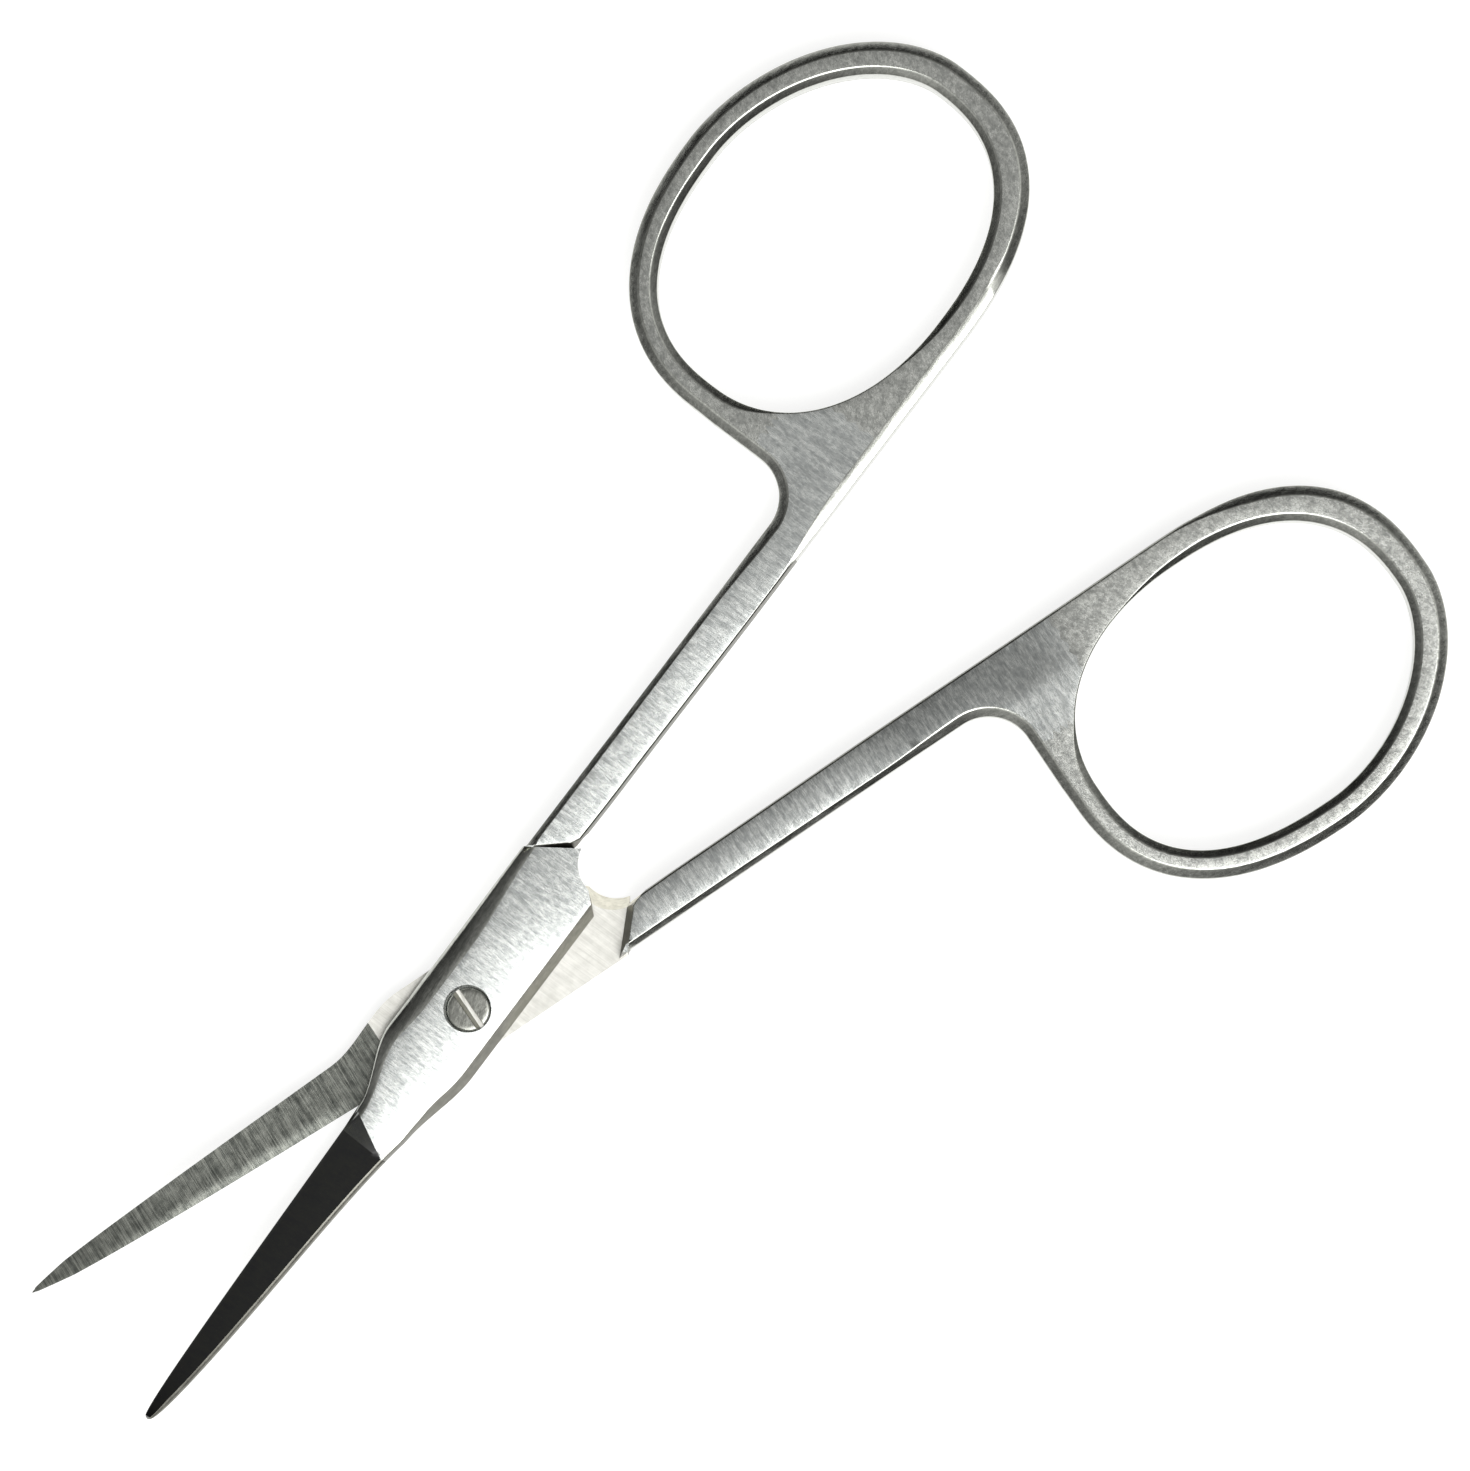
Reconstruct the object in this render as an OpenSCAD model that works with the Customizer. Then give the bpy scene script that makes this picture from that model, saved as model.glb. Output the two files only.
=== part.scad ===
// Cuticle scissors: two forged steel halves that turn on one slotted screw.
// The pivot axis is Z, the tips point along -X and the finger rings along +X.
// Each half is drawn closed, with u along it, s away from its centre line towards
// its own ring, and w out of the plane where the two halves meet.

/* [Pose] */
// Angle between the two halves as the scissors lie
opening = 19; // [2:1:60]

/* [Blades] */
// Distance from the pivot to a blade's tip
blade_reach = 29.2; // [28:0.1:31]
// Distance of the cutting edge from the centre line at the heel of the blade
heel_edge = 1.35; // [1.1:0.05:1.5]
// Distance of the upper blade's back from the centre line at the heel
heel_back = 2; // [1.7:0.05:2.2]
// How much slimmer the lower blade's heel is ground
slimmer = 0.6; // [0:0.05:0.7]
// How far the upper tip leans to the cutting side, and the lower tip to the back
tip_lean = 0.05; // [0:0.01:0.1]
// Thickness of the blade's back at the heel
heel_t = 1.25; // [1:0.05:1.3]
// Thickness of the blade's back at the tip
tip_t = 0.4; // [0.3:0.05:0.6]
// Width of the blunted tip
tip_w = 0.2; // [0.16:0.02:0.4]
// Thickness of the cutting edge
edge_t = 0.16; // [0.1:0.02:0.3]
// Radius of the blades' upward curve, seen from the side
curve_r = 55; // [50:1:90]
// Distance from the pivot where the upward curve starts
curve_start = 5.2; // [5:0.1:6]
// Depth of the hollow ground into a blade's inner face
hollow = 0.08; // [0:0.01:0.12]

/* [Joint block] */
// Thickness of one half's joint block
block_t = 1.3; // [1.2:0.05:1.4]
// Distance of the block's sides from the centre line
block_side = 2.82; // [2.7:0.02:3]
// Radius of the rounding along the block's outer edge
block_sweep = 1.15; // [0.9:0.05:1.2]
// How far the block's other side leans in over its thickness
block_draft = 0.45; // [0.1:0.05:0.6]
// Distance along the half from the pivot to the shoulder's outer corner
shoulder_u = 8.75; // [8.5:0.05:9.5]
// Angle of the shoulder to the scissors' long axis
shoulder_angle = 47; // [45:1:50]
// Gap left at the shoulder when the scissors are shut
shoulder_gap = 0.15; // [0.1:0.05:0.3]
// Distance along the half from the pivot to the outer end of the step to the shank
step_u = 9.15; // [8.9:0.05:9.4]
// Distance of the step's outer end from the centre line
step_s = 2.44; // [2.3:0.02:2.6]
// Angle of the step across the half
step_angle = 35; // [30:1:45]
// Width of the step's ramp
step_run = 0.4; // [0.3:0.05:0.5]
// Radius of the scallop ground into the corner between block and shank
scallop_r = 2.1; // [1.9:0.05:2.3]
// How far the scallop leans as it crosses the block
scallop_tilt = 30; // [0:1:35]
// Play between the two halves
play = 0.04; // [0.02:0.01:0.08]
// Distance of the pivot from the halves' centre line
pivot_offset = 0.35; // [0:0.05:0.4]

/* [Shanks] */
// Thickness of a shank and of its ring
shank_t = 3; // [2.8:0.1:3.2]
// Distance of a shank's outer side from the centre line
shank_out = 2.66; // [2.5:0.02:2.7]
// Distance of a shank's inner side from the centre line
shank_in = 0.1; // [0.08:0.01:0.2]

/* [Finger rings] */
// Distance from the pivot to the far end of the upper half's ring
ring_end = 60.05; // [58:0.05:62]
// How much nearer the pivot the lower half's ring ends
ring_shorter = 0.45; // [0:0.05:0.6]
// Length of the upper half's ring over its outside
ring_l = 24.85; // [24:0.05:26]
// Width of a ring over its outside
ring_w = 19.6; // [18.5:0.1:20]
// Length of the upper half's finger hole
hole_l = 21.15; // [20.5:0.05:21.5]
// Width of the finger hole
hole_w = 16; // [15:0.1:16.5]
// Radius of the crotch between shank and ring
crotch_r = 2.65; // [2:0.05:3]

/* [Pivot screw] */
// Diameter of the screw's head
head_d = 2.54; // [2.3:0.02:2.8]
// Thickness of the head
head_t = 0.75; // [0.6:0.05:0.85]
// Depth of the head below the face of the block
head_sink = 0.06; // [0:0.01:0.1]
// Diameter of the smooth shoulder that the upper half turns on
journal_d = 1.8; // [1.6:0.05:2]
// Diameter of the threaded end, drawn plain
thread_d = 1.6; // [1.4:0.05:1.7]
// Width of the screwdriver slot
slot_w = 0.44; // [0.35:0.01:0.5]
// Depth of the screwdriver slot
slot_depth = 0.32; // [0.2:0.02:0.4]
// Direction of the slot, from the scissors' long axis
slot_angle = 81; // [0:1:180]
// Running clearance round the journal and the head
running = 0.04; // [0.02:0.01:0.08]

/* [Hidden] */
UPPER = 1;
LOWER = -1;
mid_z = block_t;
floor_w = play / 2;
half_t = shank_t / 2;
big = 12;

// Smooth step from 0 to 1 while x goes from a to b
function ease(a, b, x) = let (t = min(1, max(0, (x - a) / (b - a)))) t * t * (3 - 2 * t);
function mix(a, b, t) = a + (b - a) * t;

// How far the blade has tapered at u, from 0 at the heel to 1 at the tip
heel_u = 8.3;
function taper(u) = min(1, max(0, (-u - heel_u) / (blade_reach - heel_u)));

// Height of the upward curve at a point of the half
function rise(u, v) =
    let (r = max(0, norm([u, v]) - curve_start))
    u > 0 ? 0 : curve_r - sqrt(curve_r * curve_r - r * r);

// A point of a half, from its place along, across and out of the half
function point(side, u, s, w) =
    let (v = s + side * pivot_offset)
    [u, v, w + side * rise(u, v)];

// Edges of the blade, the neck and the joint block in plan; the two blades were
// ground by hand, so the lower one is slimmer and its back is straighter
neck_end = -3.4;
neck_in_end = -3;
edge_fullness = 0.55;
heel_flare = 0.46;
flare_fade = 6;
function edge_side(side, u) =
    let (
        t = 1 - taper(u),
        lean = side * tip_lean * taper(u),
        ground_edge = tip_w / 2 + (heel_edge - tip_w / 2) * pow(t, edge_fullness) + lean
    )
    mix(ground_edge, block_side, ease(-heel_u, neck_end, u));
function back_side(side, u) =
    let (
        t = 1 - taper(u),
        lean = side * tip_lean * taper(u),
        flare = side == UPPER ? heel_flare : 0,
        heel = side == UPPER ? heel_back : heel_back - slimmer,
        fullness = side == UPPER ? 0.43 : 0.54,
        slim_back = tip_w / 2 + (heel - flare - tip_w / 2) * pow(t, fullness),
        ground_back = slim_back + flare * pow(t, flare_fade) - lean
    )
    mix(ground_back, block_side, ease(-heel_u - 0.2, neck_in_end, u));

// Radius of the block's outer rounding, smaller at the neck and at the step
neck_sweep = 0.5;
step_sweep = 0.65;
function sweep_at(u) =
    mix(neck_sweep, block_sweep, ease(-7.5, -2, u)) - (block_sweep - step_sweep) * ease(3, step_u, u);

// One section across the blade or the block: ground is 1 on the ground blade and
// 0 on the block; lean slants the section so that it follows the blade's heel.
// Four points make the block's outer rounding, and lie in the blade's outer face
arc_across = [0, 0.134, 0.5, 1];
arc_up = [0, 0.5, 0.866, 1];
face_across = [0, 0.35, 0.7, 1];
back_round = 0.3;
back_fullness = 0.8;
function section(side, u, lean, ground) =
    let (
        e = edge_side(side, u + lean * edge_side(side, u)),
        b = back_side(side, u - lean * back_side(side, u)),
        t = 1 - taper(u),
        back_t = mix(block_t, mix(tip_t, heel_t, pow(t, back_fullness)), ground),
        sweep = min(sweep_at(u), e * 0.5),
        draft = mix(0.12, block_draft, ease(-8, -5, u)),
        r_edge = mix(sweep, min(back_round, e * 0.5), ground),
        r_back = mix(draft, min(back_round, b * 0.5), ground),
        land = mix(block_t - sweep, edge_t, ground),
        edge_top = mix(block_t, edge_t + (back_t - edge_t) * r_edge / (e + b - r_back), ground),
        back_low = mix(floor_w + 0.06, back_t * 0.62, ground),
        back_mid = mix(0.68, 0.35, ground),
        dip = hollow * ground * ease(0, 0.2, t),
        rounding = [for (i = [0 : 3])
            [e - r_edge * mix(arc_across[i], face_across[i], ground),
             mix(land, edge_top, mix(arc_up[i], face_across[i], ground))]],
        profile = concat([[e, floor_w]], rounding, [
            [-b + r_back, back_t],
            [-b + r_back * back_mid, mix(back_low, back_t, 0.72)],
            [-b, back_low],
            [-b, floor_w],
            [(e - b) / 2, floor_w + dip]
        ])
    )
    [for (p = profile) point(side, u + lean * p[0], p[0], p[1])];

// Sections from the tip to the end of the joint block
blade_steps = 16;
heel_lean = 0.52;
heel_line = -9.05;
facet_foot = -9.85;
blade_stations = [for (i = [0 : blade_steps])
    [mix(-blade_reach, facet_foot, pow(i / blade_steps, 1.25)), 0, 1]];
block_stations = [
    [heel_line, heel_lean, 0],
    [-8, heel_lean * 0.7, 0],
    [-7.2, heel_lean * 0.35, 0],
    [-6.5, 0, 0],
    [-5.9, 0, 0],
    [-5.3, 0, 0],
    [-4.7, 0, 0],
    [-4, 0, 0],
    [neck_in_end, 0, 0],
    [-2, 0, 0],
    [3, 0, 0],
    [6, 0, 0],
    [step_u, 0, 0],
    [big, 0, 0]
];

// A closed solid through a list of sections with equal numbers of points
module loft(sections) {
    n = len(sections[0]);
    last = len(sections) - 1;
    polyhedron(
        points = [for (ring = sections) each ring],
        faces = concat(
            [[for (j = [0 : n - 1]) j]],
            [for (i = [0 : last - 1], j = [0 : n - 1])
                let (k = (j + 1) % n) [i * n + j, (i + 1) * n + j, (i + 1) * n + k]],
            [for (i = [0 : last - 1], j = [0 : n - 1])
                let (k = (j + 1) % n) [i * n + j, (i + 1) * n + k, i * n + k]],
            [[for (j = [n - 1 : -1 : 0]) last * n + j]]
        )
    );
}

// Everything on the far side of an upright or tilted plane through a point
module beyond(at, turn, tilt) {
    translate(at)
        rotate([0, 0, turn])
            rotate([0, -tilt, 0])
                translate([0, -big, -big])
                    cube([2 * big, 2 * big, 2 * big]);
}

// Scallop that a round-nosed wheel ground into the corner between block and shank:
// it leans as it crosses the block, and stands upright beside the shank
scallop_mid = [11.14, -1.52];
scallop_turn = -42;
module scallop(side) {
    translate([scallop_mid[0], scallop_mid[1] + side * pivot_offset, 0]) {
        rotate([0, scallop_tilt, scallop_turn])
            translate([0, 0, -scallop_r * sin(scallop_tilt)])
                cylinder(h = 4 * block_t, r = scallop_r, $fn = 64);
        translate([0, 0, -2 * half_t])
            cylinder(h = 2 * half_t, r = scallop_r, $fn = 64);
    }
}

// Blade and joint block of one half: the block ends inside the shank on the ring
// side, and on the other side at the stop face that meets the other half's shoulder
module blade_and_block(side) {
    shift = side * pivot_offset;
    stop_u = shoulder_u - shoulder_gap / sin(shoulder_angle);
    difference() {
        loft([for (t = concat(blade_stations, block_stations)) section(side, t[0], t[1], t[2])]);
        beyond([step_u + step_run, step_s + shift, 0], step_angle, 0);
        beyond([stop_u, -block_side + shift, 0], shoulder_angle - 90, 0);
    }
}

// Outline of shank, crotch and ring as [u, s, rounding across, rounding down]
ring_start = ring_end - ring_l;
ring_to_widest = 12.2;
ring_u = ring_start + ring_to_widest;
ring_s = shank_in - 0.04 + ring_w / 2;
hole_u = ring_u + 0.1;
hole_s = ring_s;
bar_w = 1.72;
hole_end = bar_w;
hole_start = ring_end - hole_end - hole_l;
function far_end(side) = side == UPPER ? ring_end : ring_end - ring_shorter;
bar_round = [0.85, 1];
hole_round = [0.34, 0.6];
shank_round = [0.4, 0.55];
sharp = [0.06, 0.06];
vertex_s = 0.32;
vertex_u = shoulder_u + (shank_out - vertex_s) / tan(shoulder_angle);

// Point of an egg-shaped ring: its length before and after the widest place, half
// its width, and the squareness of its quarters, far outer one first, then round
function egg(near, far, b, squareness, angle) =
    let (
        quarter = floor(((angle + 360) % 360) / 90),
        n = squareness[min(3, quarter)],
        c = cos(angle),
        d = sin(angle)
    )
    [(c < 0 ? near : far) * sign(c) * pow(abs(c), 2 / n), b * sign(d) * pow(abs(d), 2 / n)];
ring_squareness = [1.87, 2.34, 2.3, 2.5];
hole_squareness = [1.82, 2.5, 2.15, 2.4];

crotch_steps = 8;
hole_steps = 72;
ring_steps = hole_steps * 3 / 4;
web_foot_u = 36;
outer_line = concat(
    [[shoulder_u, shank_out + 0.06, sharp], [14, shank_out + 0.04, shank_round]],
    [for (i = [0 : crotch_steps])
        let (a = -90 + 90 * i / crotch_steps)
        [ring_start - 0.05 - crotch_r + crotch_r * cos(a), shank_out + crotch_r + crotch_r * sin(a),
         shank_round]],
    [[ring_start - 0.04, 7.4, mix(shank_round, bar_round, 0.5)]]
);
function ring_line(side) = [for (i = [0 : ring_steps])
    let (
        a = 180 - 270 * i / ring_steps,
        p = egg(ring_u - ring_start, far_end(side) - ring_u, ring_w / 2, ring_squareness, a)
    )
    [ring_u + p[0], ring_s + p[1], bar_round]];
inner_line = [
    [web_foot_u, shank_in, shank_round],
    [30, shank_in, shank_round],
    [20, shank_in + 0.04, shank_round],
    [14.5, shank_in + 0.14, shank_round],
    [vertex_u, vertex_s, sharp]
];
function outline(side) = concat(outer_line, ring_line(side), inner_line);
ring_first = len(outer_line);
web_foot = ring_first + ring_steps + 1;
web_round = [0.1, 0.12];
function hole_line(side) = [for (i = [0 : hole_steps - 1])
    let (
        a = 180 - 360 * i / hole_steps,
        far = far_end(side) - hole_end - hole_u,
        p = egg(hole_u - hole_start, far, hole_w / 2, hole_squareness, a),
        web = ease(-85, -110, a) * (1 - ease(-155, -179, a))
    )
    [hole_u + p[0], hole_s + p[1], mix(hole_round, web_round, web)]];

// Unit direction into the material at point i of a closed outline
function inward(line, i) =
    let (
        n = len(line),
        a = line[(i + n - 1) % n],
        b = line[i],
        c = line[(i + 1) % n],
        d1 = [b[0] - a[0], b[1] - a[1]],
        d2 = [c[0] - b[0], c[1] - b[1]],
        d = d1 / norm(d1) + d2 / norm(d2)
    )
    [d[1], -d[0]] / norm(d);

// Loops of points that round an outline's edges, from the top face to the bottom
round_steps = 3;
function loops(side, line, sign) = [
    for (i = [0 : len(line) - 1])
        let (dir = inward(line, i) * sign, r = line[i][2])
        each [for (j = [0 : 2 * round_steps + 1])
            let (
                top = j <= round_steps,
                a = 90 * (top ? 1 - j / round_steps : (j - round_steps - 1) / round_steps),
                d = r[0] * (1 - cos(a)),
                w = half_t - r[1] * (1 - sin(a))
            )
            point(side, line[i][0] + dir[0] * d, line[i][1] + dir[1] * d, top ? w : -w)]
];

function band(first, count, around, flip) = [
    for (i = [0 : count - 1], j = [0 : around - 2])
        let (
            a = first + i * around + j,
            b = first + ((i + 1) % count) * around + j
        )
        each flip
            ? [[a, b + 1, b], [a, a + 1, b + 1]]
            : [[a, b, b + 1], [a, b + 1, a + 1]]
];

// Triangles of the flat face: ring, then web, then shank, as numbers of columns
function flat_face(n_out) = concat(
    [for (i = [0 : ring_steps - 1]) [ring_first + i, ring_first + i + 1, n_out + i + 1]],
    [for (i = [0 : ring_steps - 1]) [ring_first + i, n_out + i + 1, n_out + i]],
    [[ring_first + ring_steps, web_foot, n_out + ring_steps]],
    [for (i = [ring_steps : hole_steps - 1]) [n_out + i, web_foot, n_out + (i + 1) % hole_steps]],
    [[n_out, web_foot, ring_first]],
    [for (i = [2 : ring_first]) [i, web_foot, i - 1]],
    [[1, web_foot, web_foot + 1], [1, web_foot + 1, web_foot + 2], [1, web_foot + 2, web_foot + 3]],
    [[1, web_foot + 3, web_foot + 4], [1, web_foot + 4, 0]]
);

// Shank and finger ring of one half, with the ramp that is ground down to the block
module shank_and_ring(side) {
    around = 2 * round_steps + 2;
    n_out = len(outline(side));
    flat = flat_face(n_out);
    steepness = 90 - atan((half_t - block_t) / step_run);
    difference() {
        polyhedron(
            points = concat(loops(side, outline(side), 1), loops(side, hole_line(side), -1)),
            faces = concat(
                band(0, n_out, around, true),
                band(n_out * around, hole_steps, around, false),
                [for (t = flat) t * around],
                [for (t = flat) [t[0], t[2], t[1]] * around + [1, 1, 1] * (around - 1)]
            )
        );
        beyond([step_u, step_s + side * pivot_offset, block_t], step_angle + 180, steepness);
    }
}

// Puts a half, drawn closed, where it lies
module lay(side) {
    translate([0, 0, mid_z])
        rotate([side == LOWER ? 180 : 0, 0, side * opening / 2])
            children();
}

// The lower half: its block carries the screw's threaded end
module lower_half() {
    color("lightgray")
        lay(LOWER)
            difference() {
                union() {
                    blade_and_block(LOWER);
                    shank_and_ring(LOWER);
                }
                scallop(LOWER);
                cylinder(h = 4 * block_t, d = thread_d, center = true, $fn = 64);
            }
}

// The upper half: it turns on the screw's journal, and its block hides the head
module upper_half() {
    seat_z = block_t - head_sink - head_t - play / 2;
    color("silver")
        lay(UPPER)
            difference() {
                union() {
                    blade_and_block(UPPER);
                    shank_and_ring(UPPER);
                }
                scallop(UPPER);
                cylinder(h = 4 * block_t, d = journal_d + 2 * running, center = true, $fn = 64);
                translate([0, 0, seat_z])
                    cylinder(h = block_t, d = head_d + 2 * running, $fn = 64);
            }
}

// The screw: slotted head, smooth journal and an end held in the lower block
module pivot_screw() {
    head_top = 2 * block_t - head_sink;
    head_base = head_top - head_t;
    lower_face = block_t - play / 2;
    color("gainsboro")
        difference() {
            union() {
                cylinder(h = lower_face, d = thread_d, $fn = 64);
                translate([0, 0, lower_face])
                    cylinder(h = head_base - lower_face, d = journal_d, $fn = 64);
                translate([0, 0, head_base])
                    cylinder(h = head_t, d = head_d, $fn = 64);
            }
            translate([0, 0, head_top - slot_depth])
                rotate([0, 0, slot_angle])
                    translate([-head_d, -slot_w / 2, 0])
                        cube([2 * head_d, slot_w, head_t]);
        }
}

lower_half();
upper_half();
pivot_screw();
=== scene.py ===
# Cuticle scissors, dressed for the render: the same two forged halves and screw as
# the solids, with finer edges, ground faces, scratches and satin steel.
# Shapes are written in millimetres along (u), across (s) and out of (w) a half drawn
# closed, and laid open in the shared frame at the end.
import math

import bmesh
import bpy
import numpy as np
from mathutils import Matrix, Vector
from mathutils.geometry import delaunay_2d_cdt


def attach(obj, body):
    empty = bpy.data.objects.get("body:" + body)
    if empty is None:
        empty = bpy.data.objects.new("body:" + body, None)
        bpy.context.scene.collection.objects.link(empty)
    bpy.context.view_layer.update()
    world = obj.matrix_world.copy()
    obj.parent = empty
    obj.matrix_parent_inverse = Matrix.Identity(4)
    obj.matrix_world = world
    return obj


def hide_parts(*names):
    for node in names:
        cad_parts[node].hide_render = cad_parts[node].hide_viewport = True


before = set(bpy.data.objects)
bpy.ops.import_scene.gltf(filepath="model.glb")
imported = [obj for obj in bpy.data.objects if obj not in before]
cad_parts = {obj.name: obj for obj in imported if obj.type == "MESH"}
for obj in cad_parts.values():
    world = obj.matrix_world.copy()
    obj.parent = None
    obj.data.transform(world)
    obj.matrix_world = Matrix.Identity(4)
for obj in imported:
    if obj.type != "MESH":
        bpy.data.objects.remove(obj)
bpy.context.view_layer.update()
MM = 0.001
UPPER, LOWER = 1, -1

# --- Sizes, in mm and degrees -------------------------------------------------------
# how far open the halves lie, and each centre line's distance from the pivot
OPENING, PIVOT_OFFSET = 19, 0.35
# gaps between the blocks, about the screw, and inside the solids' outline
FLOOR, RUNNING, SNUG = 0.02, 0.04, 0.003

# blade: reach, thickness at heel, tip and cutting edge, and the bowl that it follows
BLADE_REACH, HEEL_T, TIP_T, EDGE_T = 29.2, 1.25, 0.4, 0.16
CURVE_R, CURVE_START = 55, 5.2
# cutting side: width at the heel, fullness of the taper, and width and lean of the tip
HEEL_U, HEEL_EDGE, EDGE_FULLNESS, TIP_W, TIP_LEAN = 8.3, 1.35, 0.55, 0.2, 0.05
# back: width at the heel, the flare in it, and fullness of the taper
BACKS = {UPPER: (2.0, 0.46, 0.43), LOWER: (1.4, 0, 0.54)}
FLARE_FADE, BACK_ROUND, EDGE_ROUND, HOLLOW = 6, 0.26, 0.04, 0.12
# tips: rounding along the blade, least width beside the full one, and how slim the
# lower blade's last stretch starts
TIP_ROUND, TIP_STRETCH = 0.16, 2.4
TIP_LEAST, TIP_SLIM = {UPPER: 0.34, LOWER: 0.08}, {UPPER: 1, LOWER: 0.35}
# slanted heel where the facet runs out, its foot, and the crease under the block
HEEL_LINE, HEEL_LEAN, FACET_FOOT, CREASE = -9.05, 0.52, -9.85, -5.15
# fall of the ground inner face toward its cutting edge, over the last part of its width
INNER_FALL, INNER_FALL_FROM = 0.05, 0.72

# joint block: thickness, half width, rounded edge (narrower at neck and step, and
# lower than wide), leaning far side with a soft edge, and crown of the top
BLOCK_T, BLOCK_SIDE, BLOCK_END = 1.3, 2.82, 12
BLOCK_SWEEP, NECK_SWEEP, STEP_SWEEP_LESS, SWEEP_HEIGHT = 1.15, 0.5, 0.5, 0.6
BLOCK_DRAFT, NECK_DRAFT, SOFT_EDGE, SOFT_TURN = 0.45, 0.12, 0.06, 72
BLOCK_CROWN, CROWN_CURVE, STEP_CROWN_LESS = 0.24, 0.65, 0.35
# scallop: its radius, and its middle (u, s, w) below, at and above the inner face
SCALLOP_R, SCALLOP_MIDS = 2.08, ((11.14, -1.52, -2.0), (11.14, -1.52, 0.0), (11.83, -2.13, 1.6))
# slanted shoulder behind the other half's block, and slanted step up to the shank
SHOULDER_U, SHOULDER_ANGLE, SHOULDER_GAP, SHOULDER_OUT = 8.75, 47, 0.15, 0.06
STEP_FOOT, STEP_ANGLE, STEP_RUN = (9.15, 2.44), 35, 0.4

# shank and ring: half thickness, outer and inner side, ring's ends and widths
HALF_T, SHANK_OUT, SHANK_IN = 1.5, 2.66, 0.1
RING_END, RING_SHORTER, RING_L, RING_W = 60.05, 0.45, 24.85, 19.6
RING_TO_WIDEST, RING_TUCK, RING_SIDE_S = 12.2, 0.04, 9.4
HOLE_L, HOLE_W, HOLE_FROM_END, CROTCH_R, CROTCH_TUCK = 21.15, 16.0, 2.0, 2.65, 0.05
# squareness of ring and hole by quarters, far outer one first
RING_SQUARE, HOLE_SQUARE = (1.87, 2.34, 2.3, 2.5), (1.82, 2.5, 2.15, 2.4)
# hand-ground waver of the shank's sides, its spread at the shoulder, and the relief
# of its inner side near the block
WAVER, SHOULDER_SPREAD, RELIEF, RELIEF_U, VERTEX_S = 0.02, 0.05, 0.14, 14.5, 0.32

# screw: head, journal, plain threaded end, and the slot
HEAD_D, HEAD_T, HEAD_SINK, JOURNAL_D, THREAD_D = 2.54, 0.75, 0.06, 1.8, 1.6
SLOT_W, SLOT_DEPTH, SLOT_ANGLE = 0.44, 0.32, 81


def ease(a, b, x):
    t = min(1.0, max(0.0, (x - a) / (b - a)))
    return t * t * (3 - 2 * t)


def mix(a, b, t):
    return a + (b - a) * t


def rise(u, v):
    """Height of the blades' upward curve, which follows one bowl about the pivot."""
    r = max(0.0, math.hypot(u, v) - CURVE_START)
    return 0.0 if u > 0 else CURVE_R - math.sqrt(CURVE_R**2 - r * r)


def in_half(side, u, s, w):
    """A point of a half drawn closed, with the pivot's offset and the blades' curve."""
    v = s + side * PIVOT_OFFSET
    return Vector((u, v, w + side * rise(u, v)))


def laid(side):
    """Turns a half drawn closed into its place, in metres."""
    flip = Matrix.Rotation(math.pi if side == LOWER else 0, 4, "X")
    turn = Matrix.Rotation(math.radians(side * OPENING / 2), 4, "Z")
    return Matrix.Scale(MM, 4) @ Matrix.Translation((0, 0, BLOCK_T)) @ turn @ flip


# --- Materials --------------------------------------------------------------------
def linear(hexa):
    """An sRGB hex colour as the linear values that shaders take."""
    parts = [int(hexa[i:i + 2], 16) / 255 for i in (1, 3, 5)]
    return [c / 12.92 if c <= 0.04045 else ((c + 0.055) / 1.055) ** 2.4 for c in parts] + [1]


def node(tree, kind, inputs=(), **settings):
    """Adds one node; an input that is a socket is linked, and any other is a value."""
    made = tree.nodes.new(kind)
    for key, value in settings.items():
        setattr(made, key, value)
    for key, value in dict(inputs).items():
        if isinstance(value, bpy.types.NodeSocket):
            tree.links.new(value, made.inputs[key])
        else:
            made.inputs[key].default_value = value
    return made


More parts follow.
